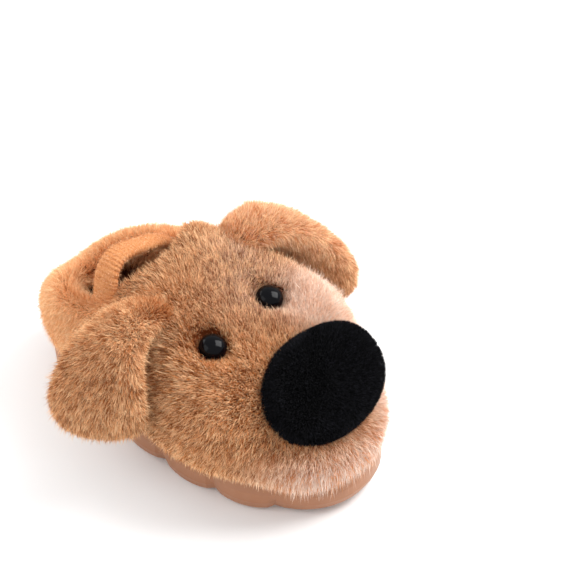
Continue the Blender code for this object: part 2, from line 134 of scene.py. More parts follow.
set_camera()
hang_lamp("lamp", LAMP_PLACE, LAMP_WIDTH, LAMP_WATTS)
hang_lamp("back_lamp", BACK_LAMP_PLACE, BACK_LAMP_WIDTH, BACK_LAMP_WATTS)
hang_lamp("side_lamp", SIDE_LAMP_PLACE, SIDE_LAMP_WIDTH, SIDE_LAMP_WATTS)
room = bpy.data.worlds.new("room")
room.use_nodes = True
room.node_tree.nodes["Background"].inputs["Color"].default_value = (1.0, 1.0, 1.0, 1.0)
room.node_tree.nodes["Background"].inputs["Strength"].default_value = ROOM_LIGHT
bpy.context.scene.world = room
bpy.context.scene.view_settings.view_transform = "Standard"
table_finish, table_shader = finish_of("table_white", roughness=0.9, specular=0.1)
table_shader.inputs["Base Color"].default_value = (*TABLE_WHITE, 1.0)
table_mesh = bpy.data.meshes.new("table")
table_corners = [(TABLE_REACH * x, TABLE_REACH * y, 0) for x, y in ((-1, -1), (1, -1), (1, 1), (-1, 1))]
table_mesh.from_pydata(table_corners, [], [(0, 1, 2, 3)])
table = show("table", table_mesh, table_finish)


# The cupsole: one piece of moulded peach foam with a soft matt skin. Its side is pressed into lobes, and
# its rim holds the plush. The CAD piece has its true shape, so it stays and only gets its foam.
FOAM = (0.325, 0.140, 0.070)
FOAM_CLOUD = (0.385, 0.178, 0.096)
FOAM_PALE = (0.450, 0.325, 0.255)
PALE_FROM = -0.002              # the foam is paler towards the toe's inner side, between these places along X
PALE_TO = 0.038
PALE_BACK = 0.040               # and between these along Y
PALE_FRONT = -0.030
FOAM_CLOUD_SCALE = 38.0
FOAM_GRAIN_SCALE = 2600.0
FOAM_GRAIN_DEPTH = 0.00006


def ramp_of(material, amount, low, low_dye, high, high_dye):
    """One dye turning into another as an amount goes from low to high."""
    ramp = node_for(material, "ShaderNodeValToRGB")
    for stop, position, dye in zip(ramp.color_ramp.elements, (low, high), (low_dye, high_dye)):
        stop.position = position
        stop.color = (*dye, 1.0)
    join(material, amount, ramp.inputs["Fac"])
    return ramp.outputs["Color"]


def fade_along(material, way, start, end):
    """0 to 1, softly, between two places along one way of the object."""
    fade = node_for(material, "ShaderNodeMapRange", From_Min=start, From_Max=end)
    fade.interpolation_type = "SMOOTHSTEP"
    join(material, way, fade.inputs["Value"])
    return fade


def foam_finish():
    """Moulded foam: faint clouds in its dye, a fine skin grain, and a paler inner side at the toe."""
    material, shader = finish_of("peach_foam", roughness=0.5, specular=0.35)
    place = node_for(material, "ShaderNodeTexCoord")
    clouds = node_for(material, "ShaderNodeTexNoise", Scale=FOAM_CLOUD_SCALE, Detail=3.0)
    join(material, place.outputs["Object"], clouds.inputs["Vector"])
    dye = ramp_of(material, clouds.outputs["Fac"], 0.35, FOAM, 0.70, FOAM_CLOUD)
    across = node_for(material, "ShaderNodeSeparateXYZ")
    join(material, place.outputs["Object"], across.inputs["Vector"])
    pale = fade_along(material, across.outputs["X"], PALE_FROM, PALE_TO)
    by_toe = fade_along(material, across.outputs["Y"], PALE_BACK, PALE_FRONT)
    join(material, by_toe.outputs["Result"], pale.inputs["To Max"])
    blend = material.node_tree.nodes.new("ShaderNodeMix")
    blend.data_type = "RGBA"
    blend.inputs["B"].default_value = (*FOAM_PALE, 1.0)
    join(material, pale.outputs["Result"], blend.inputs["Factor"])
    join(material, dye, blend.inputs["A"])
    join(material, blend.outputs["Result"], shader.inputs["Base Color"])
    grain = node_for(material, "ShaderNodeTexNoise", Scale=FOAM_GRAIN_SCALE, Detail=2.0)
    join(material, place.outputs["Object"], grain.inputs["Vector"])
    bump = node_for(material, "ShaderNodeBump", Strength=0.5, Distance=FOAM_GRAIN_DEPTH)
    join(material, grain.outputs["Fac"], bump.inputs["Height"])
    join(material, bump.outputs["Normal"], shader.inputs["Normal"])
    shader.inputs["Subsurface Weight"].default_value = 0.15
    shader.inputs["Subsurface Radius"].default_value = (0.004, 0.002, 0.001)
    return material


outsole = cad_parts["outsole"]
outsole.material_slots[0].link = "OBJECT"
outsole.material_slots[0].material = foam_finish()


# The upper: a plush shell of the dog's head, quarters and rolled collar, cut from one pile cloth and padded.
# The cloth's backing lies under the pile by a share of the wall, and every tuft of the pile stands on it.
HEAD_PILE = 0.0062              # length of the pile on the head
COLLAR_PILE = 0.0050
HEAD_SINK = 0.0040              # how deep the backing lies under the tips
COLLAR_SINK = 0.0025
LINING_SINK = 0.0016
SHELL_SHARE = 0.45              # of the wall, where the wall is thin
HEAD_DENSITY = 9.2e6            # strands on a square metre
COLLAR_DENSITY = 8.0e6
HEAD_END = 0.010                # the head's pile turns into the collar's between these two places along Y
COLLAR_START = 0.028
MUZZLE_TIP = (0.003, -0.068, 0.058)
OPENING_MIDDLE = 0.0455         # the collar's opening is an oval round here, on the middle line
OPENING_HALF_WIDTH = 0.0355
OPENING_HALF_LENGTH = 0.0315
SPINE_FRONT = -0.045            # the lining faces a line that runs through the middle of the foot room
SPINE_BACK = 0.050
SPINE_HEIGHT = 0.036
OUTSIDE = 0.12                  # a face that turns away from that line by more than this is outside
ROOT_BROWN = (0.230, 0.055, 0.014)
COAT_TAN = (0.720, 0.265, 0.080)
TIP_PEACH = (0.940, 0.530, 0.250)
COAT_ORANGE = (0.780, 0.280, 0.060)
COAT_RUST = (0.500, 0.150, 0.042)
FROST = (0.990, 0.670, 0.385)
# The pale pile low on the muzzle, greyed and darkened with painted shade.
HEM_PALE_SHADED = (0.620, 0.480, 0.410)
MUZZLE_PALE = (0.930, 0.610, 0.430)
MUZZLE_TIP_WHITE = (0.950, 0.790, 0.680)
COLLAR_TAN = (0.840, 0.420, 0.185)
COLLAR_TIP = (0.930, 0.580, 0.330)

Cloth = namedtuple("Cloth", "corners points outward sink")
Roots = namedtuple("Roots", "place outward sink")
# A fibre's width, how far its lie wanders, the size of its tufts and how much their tips gather, how much
# single fibres differ in tone and towards which pale colour, and the share that stands out of the rest.
Fibre = namedtuple("Fibre", "width ruffle tuft gather frost pale stray")
LENGTHS = (0.78, 1.10)          # the shortest and the longest fibre, as shares of the pile's length
LEAN_SPREAD = 11                # degrees
STRAY_LENGTH = 1.30             # a fibre that stands out is this much longer, and steeper by these degrees
STRAY_LEAN = 14
BEND = 0.55                     # the share of a fibre below its bend
CELL_STEPS = np.array([73856093, 19349663, 83492791])      # they turn a tuft's cell into a number of its own
CELL_SCRAPS = 65521


def unit(vectors):
    """Each row at length one."""
    return vectors / np.maximum(np.linalg.norm(vectors, axis=-1, keepdims=True), 1e-9)


def smooth_step(low, high, values):
    """0 up to low and 1 from high on, with a soft rise between; low may be above high."""
    share = np.clip((values - low) / (high - low), 0.0, 1.0)
    return share * share * (3 - 2 * share)


def between(first, second, share):
    """The first, turned towards the second by a share."""
    return first + (second - first) * share


def drift(places, size, seed):
    """A soft wandering number for each place, about -1 to 1, that changes over this size."""
    waves = np.random.default_rng(seed).normal(0, 2.2 / size, (7, 3))
    starts = np.random.default_rng(seed + 1).uniform(0, 2 * math.pi, 7)
    return np.sin(places @ waves.T + starts).sum(axis=1) / 2.7


def sway(places, size, seed):
    """A soft wandering direction for each place."""
    return np.stack([drift(places, size, seed + k) for k in range(3)], axis=1)


def cloth_of(node, deepest, share):
    """A CAD piece's faces, sewn into one cloth, and how deep its backing lies at each point."""
    bm = bmesh.new()
    bm.from_mesh(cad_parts[node].data)
    bmesh.ops.remove_doubles(bm, verts=bm.verts, dist=1e-6)
    bmesh.ops.triangulate(bm, faces=bm.faces)
    bm.normal_update()
    tree = BVHTree.FromBMesh(bm)
    sink = []
    for vert in bm.verts:
        hit = tree.ray_cast(vert.co - vert.normal * 1e-4, -vert.normal)[3]
        sink.append(min(deepest, share * (hit or deepest)))
    points = np.array([vert.co[:] for vert in bm.verts])
    outward = np.array([vert.normal[:] for vert in bm.verts])
    corners = np.array([[vert.index for vert in face.verts] for face in bm.faces])
    bm.free()
    return Cloth(corners, points, outward, np.array(sink))


def backing(name, cloth, material):
    """The cloth that the pile stands on."""
    mesh = bpy.data.meshes.new(name)
    points = cloth.points - cloth.outward * cloth.sink[:, None]
    mesh.from_pydata(points.tolist(), [], cloth.corners.tolist())
    mesh.shade_smooth()
    return show(name, mesh, material)


def scatter(cloth, density, seed):
    """Roots for the pile, spread evenly over the cloth."""
    rng = np.random.default_rng(seed)
    at = cloth.points[cloth.corners]
    areas = np.linalg.norm(np.cross(at[:, 1] - at[:, 0], at[:, 2] - at[:, 0]), axis=1) / 2
    count = int(areas.sum() * density)
    run = np.cumsum(areas)
    face = np.searchsorted(run, (np.arange(count) + rng.random(count)) / count * run[-1])
    face = np.minimum(face, len(areas) - 1)
    root, split = np.sqrt(rng.random(count)), rng.random(count)
    parts = np.stack([1 - root, root * (1 - split), root * split], axis=1)
    chosen = cloth.corners[face]
    place = (cloth.points[chosen] * parts[..., None]).sum(axis=1)
    outward = unit((cloth.outward[chosen] * parts[..., None]).sum(axis=1))
    sink = (cloth.sink[chosen] * parts).sum(axis=1)
    return Roots(place, outward, sink)


def only(roots, kept):
    """The kept roots."""
    return Roots(*(column[kept] for column in roots))


def strand_mesh(name, points):
    """One flat strand on each four points: its foot, the two flanks of its bend, and its tip."""
    count = len(points)
    mesh = bpy.data.meshes.new(name)
    mesh.vertices.add(count * 4)
    mesh.vertices.foreach_set("co", points.astype(np.float32).ravel())
    corners = (np.arange(count) * 4)[:, None] + np.array([0, 2, 1, 1, 2, 3])
    mesh.loops.add(count * 6)
    mesh.loops.foreach_set("vertex_index", corners.astype(np.int32).ravel())
    mesh.polygons.add(count * 2)
    mesh.polygons.foreach_set("loop_start", (np.arange(count * 2) * 3).astype(np.int32))
    mesh.update(calc_edges=True)
    # Each strand has its own cell of the map, so that its colours can be kept.
    side = math.ceil(math.sqrt(count))
    spot = np.stack([np.arange(count) % side, np.arange(count) // side], axis=1)[:, None, :]
    inner = np.array([(0.5, 0.1), (0.9, 0.5), (0.1, 0.5), (0.1, 0.5), (0.9, 0.5), (0.5, 0.9)])
    cells = (spot + inner) / side
    mesh.uv_layers.new(name="OFBake").uv.foreach_set("vector", cells.astype(np.float32).ravel())
    return mesh


def dye_strands(mesh, dye, tone, pale):
    """Each strand's colours: its dye, paler to the tip where its tone is high, its root's where it is low."""
    shades = np.ones((len(dye), 4, 4))
    shades[:, :, :3] = dye[:, [0, 1, 1, 2]]
    paler = np.clip(tone * np.array([0.3, 0.8, 0.8, 1.0])[None, :, None], 0, 0.9)
    shades[:, :, :3] += (np.array(pale) - shades[:, :, :3]) * paler
    shades[:, :, :3] += (dye[:, :1] - shades[:, :, :3]) * np.clip(-tone, 0, 0.9)
    layer = mesh.color_attributes.new(name="dye", type="FLOAT_COLOR", domain="POINT")
    layer.data.foreach_set("color", shades.astype(np.float32).ravel())


def grow_pile(name, roots, comb, length, lift, dye, fibre, material, seed, hang=0.0):
    """The pile on these roots: flat fibres that rise, bend along the comb and end in a point.

    lift is their angle to the cloth at the root and at the tip, dye their colour at root, middle and tip, and
    hang how far they fall straight down instead.
    """
    rng = np.random.default_rng(seed)
    count = len(roots.place)
    outward = roots.outward
    lie = comb + fibre.ruffle * rng.normal(size=(count, 3))
    lie = unit(lie - outward * (lie * outward).sum(axis=1, keepdims=True))
    foot = roots.place - outward * roots.sink[:, None]
    stray = rng.random(count) < fibre.stray
    reach = (length * rng.uniform(*LENGTHS, count) * np.where(stray, STRAY_LENGTH, 1.0))[:, None]
    lean = np.asarray(lift) + rng.normal(0, LEAN_SPREAD, (count, 1)) + np.where(stray, STRAY_LEAN, 0)[:, None]
    lean = np.radians(lean)
    fall = np.broadcast_to(hang, count)[:, None]
    down = np.array([0.0, 0.0, -1.0]) + 0.10 * rng.normal(size=(count, 3))
    rise = [lie * np.cos(lean[:, k:k + 1]) + outward * np.sin(lean[:, k:k + 1]) for k in (0, 1)]
    rise = [unit(way * (1 - share * fall) + down * share * fall) for way, share in zip(rise, (0.8, 1.0))]
    middle = foot + rise[0] * reach * BEND
    tip = middle + rise[1] * reach * (1 - BEND)
    # The tips of one tuft gather over its middle, which lies somewhere in the tuft's cell.
    cell = np.floor(foot / fibre.tuft + 0.35 * drift(foot, fibre.tuft * 2, seed + 5)[:, None])
    code = (cell @ CELL_STEPS).astype(np.int64) % CELL_SCRAPS
    scraps = np.random.default_rng(seed + 9).random((CELL_SCRAPS, 4))[code]
    aside = (cell + 0.2 + 0.6 * scraps[:, :3]) * fibre.tuft - foot
    aside -= outward * (aside * outward).sum(axis=1, keepdims=True)
    tip += aside * fibre.gather
    middle += aside * fibre.gather * 0.35
    # Each fibre is turned a little, and a few are broad; tufts and single fibres differ in tone.
    across = unit(np.cross(rise[0], outward + 0.35 * rng.normal(size=(count, 3))))
    broad = rng.random(count) ** 4
    flank = across * (fibre.width * (0.7 + 0.9 * broad))[:, None] / 2
    tone = fibre.frost * (1.1 * rng.normal(size=count) + 1.8 * (scraps[:, 3] - 0.5) + broad)
    mesh = strand_mesh(name, np.stack([foot, middle - flank, middle + flank, tip], axis=1))
    dye_strands(mesh, dye, tone[:, None, None], fibre.pale)
    return show(name, mesh, material)


def new_group(name, inputs, outputs):
    """An effect that several materials share: its tree, and the two ends of it."""
    tree = bpy.data.node_groups.new(name, "ShaderNodeTree")
    for label, kind in inputs:
        tree.interface.new_socket(name=label, in_out="INPUT", socket_type=kind)
    for label, kind in outputs:
        tree.interface.new_socket(name=label, in_out="OUTPUT", socket_type=kind)
    return tree, tree.nodes.new("NodeGroupInput").outputs, tree.nodes.new("NodeGroupOutput").inputs


def streak_group():
    """Fine streaks of darker and lighter fibre over a dye."""
    tree, given, result = new_group(
        "fibre_streaks",
        (("Dye", "NodeSocketColor"), ("Scale", "NodeSocketFloat"), ("Darkest", "NodeSocketFloat"),
         ("Lightest", "NodeSocketFloat")),
        (("Color", "NodeSocketColor"),))
    place = tree.nodes.new("ShaderNodeTexCoord")
    streaks = tree.nodes.new("ShaderNodeTexNoise")
    streaks.inputs["Detail"].default_value = 2.0
    tree.links.new(place.outputs["Object"], streaks.inputs["Vector"])
    tree.links.new(given["Scale"], streaks.inputs["Scale"])
    depth = tree.nodes.new("ShaderNodeMapRange")
    depth.inputs["From Min"].default_value = 0.3
    depth.inputs["From Max"].default_value = 0.7
    tree.links.new(streaks.outputs["Fac"], depth.inputs["Value"])
    tree.links.new(given["Darkest"], depth.inputs["To Min"])
    tree.links.new(given["Lightest"], depth.inputs["To Max"])
    blend = tree.nodes.new("ShaderNodeVectorMath")
    blend.operation = "SCALE"
    tree.links.new(given["Dye"], blend.inputs[0])
    tree.links.new(depth.outputs["Result"], blend.inputs["Scale"])
    tree.links.new(blend.outputs["Vector"], result["Color"])
    return tree


def loop_group():
    """Knitted loops in rows, darker between them."""
    tree, given, result = new_group(
        "knit_loops",
        (("Yarn", "NodeSocketColor"), ("Gap", "NodeSocketColor"), ("Scale", "NodeSocketFloat")),
        (("Color", "NodeSocketColor"),))
    place = tree.nodes.new("ShaderNodeTexCoord")
    loops = tree.nodes.new("ShaderNodeTexVoronoi")
    tree.links.new(place.outputs["Object"], loops.inputs["Vector"])
    tree.links.new(given["Scale"], loops.inputs["Scale"])
    edge = tree.nodes.new("ShaderNodeMapRange")
    edge.inputs["From Max"].default_value = 0.6
    tree.links.new(loops.outputs["Distance"], edge.inputs["Value"])
    dye = tree.nodes.new("ShaderNodeMix")
    dye.data_type = "RGBA"
    tree.links.new(edge.outputs["Result"], dye.inputs["Factor"])
    tree.links.new(given["Yarn"], dye.inputs["A"])
    tree.links.new(given["Gap"], dye.inputs["B"])
    tree.links.new(dye.outputs["Result"], result["Color"])
    return tree


def place_group(material, tree, **values):
    """A shared effect in a material, with the material's own values."""
    node = material.node_tree.nodes.new("ShaderNodeGroup")
    node.node_tree = tree
    for socket, value in values.items():
        node.inputs[socket].default_value = value
    return node


def pile_finish(name, roughness, sheen, darkest, lightest):
    """Dyed fibre: each strand's own colour, with fine streaks over it."""
    material, shader = finish_of(name, roughness, specular=0.08)
    dye = node_for(material, "ShaderNodeAttribute")
    dye.attribute_name = "dye"
    streaks = place_group(material, FIBRE_STREAKS, Scale=900.0, Darkest=darkest, Lightest=lightest)
    join(material, dye.outputs["Color"], streaks.inputs["Dye"])
    join(material, streaks.outputs["Color"], shader.inputs["Base Color"])
    shader.inputs["Sheen Weight"].default_value = sheen
    shader.inputs["Sheen Roughness"].default_value = 0.5
    return material


def backing_finish(name, colour):
    """The knitted back of a pile cloth."""
    material, shader = finish_of(name, roughness=0.95, specular=0.1)
    gap = 0.45 * np.array(colour)
    loops = place_group(material, KNIT_LOOPS, Yarn=(*colour, 1.0), Gap=(*gap, 1.0), Scale=700.0)
    join(material, loops.outputs["Color"], shader.inputs["Base Color"])
    return material


def dyed(count, *shades):
    """Root, middle and tip colours for every strand."""
    return np.tile(np.array(shades, dtype=float), (count, 1, 1))


def mixed(dye, other, share):
    """Each strand's colours, turned towards others by its own share."""
    return between(dye, np.array(other, dtype=float), share[:, None, None])


def blotches(places, size, seed):
    """Soft patches, from 0 to 1."""
    return np.clip(0.5 + 0.5 * drift(places, size, seed), 0, 1)


def outside_of(places, outward):
    """How far each place faces out of the shell, from -1 on the lining to 1."""
    y = np.clip(places[:, 1], SPINE_FRONT, SPINE_BACK)
    spine = np.stack([y * 0, y, y * 0 + SPINE_HEIGHT], axis=1)
    return (unit(places - spine) * outward).sum(axis=1)


FIBRE_STREAKS = streak_group()
KNIT_LOOPS = loop_group()
plush = pile_finish("tan_pile", roughness=0.85, sheen=0.0, darkest=0.84, lightest=1.14)
plush_backing = backing_finish("pile_backing", ROOT_BROWN)
lining_fibre = pile_finish("lining_pile", roughness=0.85, sheen=0.05, darkest=0.75, lightest=1.20)
shell = cloth_of("upper", HEAD_SINK, SHELL_SHARE)
toward_heel = smooth_step(HEAD_END, COLLAR_START, shell.points[:, 1])
sink = np.minimum(shell.sink, between(HEAD_SINK, COLLAR_SINK, toward_heel))
facing_out = outside_of(shell.points, shell.outward) > 0
shell = shell._replace(sink=np.where(facing_out, sink, np.minimum(sink, LINING_SINK)))
upper_cloth = backing("upper_cloth", shell, plush_backing)
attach(upper_cloth, "root")
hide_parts("upper")


def head_comb(roots):
    """The head's pile runs away from the nose and down, and the collar's away from the foot and down."""
    x, y, z = roots.place.T
    away = unit(roots.place - np.array(MUZZLE_TIP))
    away[:, 2] -= 0.25
    out = unit(np.stack([x, y - OPENING_MIDDLE, np.zeros(len(x))], axis=1))
    out[:, 2] = -0.9
    collar = smooth_step(HEAD_END, COLLAR_START, y)[:, None]
    comb = away * (1 - collar) + out * collar
    return unit(comb) + 0.22 * sway(roots.place, 0.018, 11)


def near(roots, point, reach):
    """1 at a point, falling to 0 round it."""
    return np.exp(-((roots.place - np.array(point)) ** 2).sum(axis=1) / (2 * reach**2))


EYE_PLACES = [[(low + high) / 2 for low, high in zip(*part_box(eye))] for eye in ("right_eye", "left_eye")]
EYE_CLEAR = (0.0062, 0.0054)    # the pile starts this far from the middle of the outer and the inner bead
EYE_ROUND = 0.0130              # out to here the pile is shorter and combed away from the bead
EYE_COMB = 2.2
EYE_SHORTER = 0.40
HEAD_LIFT = (70, 40)            # degrees that a strand stands up, at its root and at its tip
COLLAR_LIFT = (58, 30)
COAT_FIBRE = Fibre(width=0.00021, ruffle=0.50, tuft=0.0018, gather=0.25, frost=1.15, pale=FROST, stray=0.07)
COAT_PATCHES = (                # place, reach and strength of each patch, and its middle and tip colours
    ((-0.003, -0.010, 0.074), 0.014, 0.35, COAT_RUST, COAT_TAN),            # forehead
    ((-0.028, -0.032, 0.062), 0.011, 0.80, COAT_ORANGE, COAT_ORANGE),       # below the outer eye
    ((-0.008, -0.038, 0.064), 0.010, 0.60, COAT_ORANGE, TIP_PEACH),         # between the eyes and the nose
    ((0.013, -0.019, 0.074), 0.012, 0.95, MUZZLE_PALE, MUZZLE_TIP_WHITE),   # round the inner eye
    ((0.007, 0.011, 0.083), 0.013, 0.60, TIP_PEACH, FROST),                 # crown
    ((0.020, -0.001, 0.078), 0.009, 0.70, MUZZLE_PALE, MUZZLE_TIP_WHITE),   # below the inner ear
    ((-0.026, 0.001, 0.064), 0.010, 0.70, COAT_RUST, COAT_TAN))             # before the outer ear: painted shade in the crease at the ear's root
HEM_TOP = 0.034                 # from here down to HEM_LOW the pile turns to hang over the sole
HEM_LOW = 0.025
HEM_PILE = 0.0055
HEM_PILE_TOE = 0.0105           # longest over the toe, and shortest on the muzzle's inner side
HEM_PILE_INNER = 0.0040
HEM_RISE = 0.85                 # the hem's pile is rooted this much nearer to the surface
SOLE_RIM = 0.0222               # no pile below here, nor on cloth that faces further down than this
FACING_DOWN = -0.75
FRINGE = (1.20, 1.04)           # the opening's oval, this much larger, in which the head's pile turns dark
TOE_HEM = (-0.055, -0.078)      # where each of these begins and is full: the toe's hem, along Y
INNER_TOE_X = (0.004, 0.026)    # the inner side of the toe
INNER_TOE_Y = (-0.010, -0.030)
BRIDGE_X = (0.004, 0.024)       # the muzzle's pale inner side
BRIDGE_Y = (-0.012, -0.034)
CHIN_X = (-0.050, -0.020)       # the muzzle's pale lower edge
CHIN_Y = (-0.040, -0.070)
CHIN_Z = (0.046, 0.030)
BRIDGE_STRENGTH = 0.95
FRINGE_STRENGTH = 0.5
ORANGE_STRENGTH = 0.45          # of the orange blotches all over the coat, and their size
BLOTCH = 0.022
SIDE_SEAM = 0.016               # the coat is shown in four pieces, which meet here along X and Y
COLLAR_SEAM = 0.015

coat = scatter(shell, HEAD_DENSITY, 21)
coat = only(coat, outside_of(coat.place, coat.outward) > OUTSIDE)
coat = only(coat, (coat.place[:, 2] > SOLE_RIM) & (coat.outward[:, 2] > FACING_DOWN))
for eye_place, clear in zip(EYE_PLACES, EYE_CLEAR):
    coat = only(coat, np.linalg.norm(coat.place - np.array(eye_place), axis=1) > clear)
thinning = smooth_step(HEAD_END, COLLAR_START, coat.place[:, 1]) * (1 - COLLAR_DENSITY / HEAD_DENSITY)
coat = only(coat, np.random.default_rng(5).random(len(thinning)) > thinning)
x, y, z = coat.place.T
count = len(x)
collar_share = smooth_step(HEAD_END, COLLAR_START, y)
hem = smooth_step(HEM_TOP, HEM_LOW, z)
from_opening = np.hypot(x / OPENING_HALF_WIDTH, (y - OPENING_MIDDLE) / OPENING_HALF_LENGTH)
fringe = smooth_step(*FRINGE, from_opening) * (1 - collar_share)
coat = coat._replace(sink=coat.sink * (1 - HEM_RISE * hem))
inner_toe = smooth_step(*INNER_TOE_X, x) * smooth_step(*INNER_TOE_Y, y)
hem_length = between(HEM_PILE, HEM_PILE_TOE, smooth_step(*TOE_HEM, y))
hem_length = between(hem_length, HEM_PILE_INNER, inner_toe)
coat_length = between(between(HEAD_PILE, COLLAR_PILE, collar_share), hem_length, hem)
coat_comb = head_comb(coat)
coat_lift = between(np.array(HEAD_LIFT), np.array(COLLAR_LIFT), collar_share[:, None])
for eye_place, clear in zip(EYE_PLACES, EYE_CLEAR):
    from_eye = coat.place - np.array(eye_place)
    by_eye = smooth_step(EYE_ROUND, clear, np.linalg.norm(from_eye, axis=1))
    coat_comb += EYE_COMB * by_eye[:, None] * unit(from_eye)
    coat_length *= 1 - EYE_SHORTER * by_eye
coat_dye_and_shade = dyed(count, ROOT_BROWN, COAT_TAN, TIP_PEACH)
orange = ORANGE_STRENGTH * blotches(coat.place, BLOTCH, 40)
coat_dye_and_shade = mixed(coat_dye_and_shade, (ROOT_BROWN, COAT_ORANGE, COAT_TAN), orange)
bridge = smooth_step(*BRIDGE_X, x) * smooth_step(*BRIDGE_Y, y)
coat_dye_and_shade = mixed(coat_dye_and_shade, (MUZZLE_PALE, MUZZLE_PALE, MUZZLE_TIP_WHITE), BRIDGE_STRENGTH * bridge)
for place, reach, share, middle_dye, tip_dye in COAT_PATCHES:
    coat_dye_and_shade = mixed(coat_dye_and_shade, (ROOT_BROWN, middle_dye, tip_dye), share * near(coat, place, reach))
chin = smooth_step(*CHIN_Y, y) * smooth_step(*CHIN_Z, z) * smooth_step(*CHIN_X, x)
# The muzzle's pale lower edge and the hem on the toe's inner side: pale pile, darkened with painted shade.
coat_dye_and_shade = mixed(coat_dye_and_shade, (COAT_TAN, HEM_PALE_SHADED, MUZZLE_PALE), chin)
coat_dye_and_shade = mixed(coat_dye_and_shade, (HEM_PALE_SHADED, HEM_PALE_SHADED, HEM_PALE_SHADED), hem * inner_toe)
coat_dye_and_shade = mixed(coat_dye_and_shade, (COLLAR_TAN, COLLAR_TAN, COLLAR_TIP), collar_share)
coat_dye_and_shade = mixed(coat_dye_and_shade, (ROOT_BROWN, COAT_RUST, COAT_RUST), FRINGE_STRENGTH * fringe)
coat_frost = mixed(dyed(count, FROST), (MUZZLE_TIP_WHITE,), np.maximum(bridge, chin))
on_head = y < COLLAR_SEAM
sides = (("outer_coat", (x < -SIDE_SEAM) & on_head), ("middle_coat", (abs(x) <= SIDE_SEAM) & on_head),
         ("inner_coat", (x > SIDE_SEAM) & on_head), ("collar_coat", ~on_head))
for n, (side_name, kept) in enumerate(sides):
    pile = grow_pile(side_name, only(coat, kept), coat_comb[kept], coat_length[kept], coat_lift[kept],
                     coat_dye_and_shade[kept], COAT_FIBRE._replace(pale=coat_frost[kept]), plush, 60 + n, hem[kept])
    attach(pile, "root")

# The throat's fringe: longer, darker pile of the same cloth, where the head's edge is cut at the opening's
# front. It leans back over the edge.
THROAT_PILE = 0.0075
THROAT_DARK = (0.110, 0.035, 0.016)
THROAT_FIBRE = Fibre(width=0.00030, ruffle=0.35, tuft=0.0022, gather=0.40, frost=0.50,
                     pale=TIP_PEACH, stray=0.0)
THROAT_LIFT = (42, 24)
THROAT_COMB = np.array([-0.25, 1.0, 0.25])
THROAT_LOW = 0.045
THROAT_EDGE = 0.25
THROAT_SHARE = 0.20             # of the coat's roots there

some = np.random.default_rng(8).random(count) < THROAT_SHARE
throat = only(coat, (fringe > THROAT_EDGE) & (z > THROAT_LOW) & some)
throat_dye = dyed(len(throat.place), ROOT_BROWN, THROAT_DARK, THROAT_DARK)
throat_fringe = grow_pile("throat_fringe", throat, THROAT_COMB, THROAT_PILE, THROAT_LIFT, throat_dye,
                          THROAT_FIBRE, plush, 69)
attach(throat_fringe, "root")

# The inside: a dark curly lining cloth, sewn in along the collar, and the coat's own pile where the collar
# rolls over its edge.
LINING_PILE = 0.0050
COLLAR_LINING_PILE = 0.0070
LINING_DENSITY = 3.0e6
COLLAR_LINING_DENSITY = 6.0e6
LINING_RED = (0.230, 0.060, 0.028)
LINING_TIP = (0.440, 0.160, 0.075)
LINING_SEEN = -0.005            # the lining's pile is sparse beyond here, towards the toe
ROLL_HEIGHT = (0.046, 0.034)    # going down and forward, the roll ends between these
ROLL_FRONT = (0.024, 0.014)
LINING_FROM = 0.35
ROLL_TO = 0.60
LINING_SPARSE = 0.25
LINING_LIFT = (60, 20)
LINING_CURL = 0.004
LINING_FIBRE = Fibre(width=0.0006, ruffle=0.30, tuft=0.0035, gather=0.60, frost=0.30,
                     pale=(0.60, 0.32, 0.18), stray=0.0)
ROLL_LIFT = (66, 44)
ROLL_SHADE = (0.050, 0.036)     # going down into the foot room, the roll turns darker and rustier between these: painted shade
ROLL_FIBRE = COAT_FIBRE._replace(width=0.00028, frost=0.35, stray=0.0)


def how_deep(roots):
    """How far each root is past the collar's roll, 0 on it and more in the foot room."""
    return smooth_step(*ROLL_HEIGHT, roots.place[:, 2]) + smooth_step(*ROLL_FRONT, roots.place[:, 1])


lining = scatter(shell, LINING_DENSITY, 22)
seen = lining.place[:, 1] >= LINING_SEEN
seen |= np.random.default_rng(6).random(len(seen)) < LINING_SPARSE
lining = only(lining, (outside_of(lining.place, lining.outward) <= OUTSIDE) & seen)
lining = only(lining, how_deep(lining) > LINING_FROM)
lining_comb = np.array([0.0, 0.0, -1.0]) + 0.8 * sway(lining.place, LINING_CURL, 81)
lining_dye = dyed(len(lining.place), LINING_RED, LINING_RED, LINING_TIP)
lining_pile = grow_pile("lining_pile", lining, lining_comb, LINING_PILE, LINING_LIFT, lining_dye,
                        LINING_FIBRE, lining_fibre, 70)
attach(lining_pile, "root")

rolled = scatter(shell, COLLAR_LINING_DENSITY, 24)
rolled = only(rolled, outside_of(rolled.place, rolled.outward) <= OUTSIDE)
rolled = only(rolled, how_deep(rolled) <= ROLL_TO)
# Painted shade: going down into the opening, the roll turns darker and rustier.
rolled_dye_and_shade = mixed(dyed(len(rolled.place), COLLAR_TAN, COLLAR_TAN, COLLAR_TIP),
                   (COAT_RUST, COAT_ORANGE, COAT_ORANGE), 0.8 * smooth_step(*ROLL_SHADE, rolled.place[:, 2]))
rolled_comb = np.array([0.0, 0.0, 0.6]) + 0.3 * sway(rolled.place, 0.010, 95)
collar_lining = grow_pile("collar_lining", rolled, rolled_comb, COLLAR_LINING_PILE, ROLL_LIFT, rolled_dye_and_shade,
                          ROLL_FIBRE, plush, 72)
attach(collar_lining, "root")


# The footbed: a thin foam pad under the foot, covered with the same curly lining plush and glued into the
# upper.
FOOTBED_PILE = 0.0045
FOOTBED_SINK = 0.0008
FOOTBED_SHARE = 0.3
FOOTBED_DENSITY = 2.4e6
FOOTBED_SEEN = -0.025           # no pile beyond here, towards the toe, or on the pad's sides and underside
FOOTBED_UP = 0.4
FOOTBED_LIFT = (65, 15)

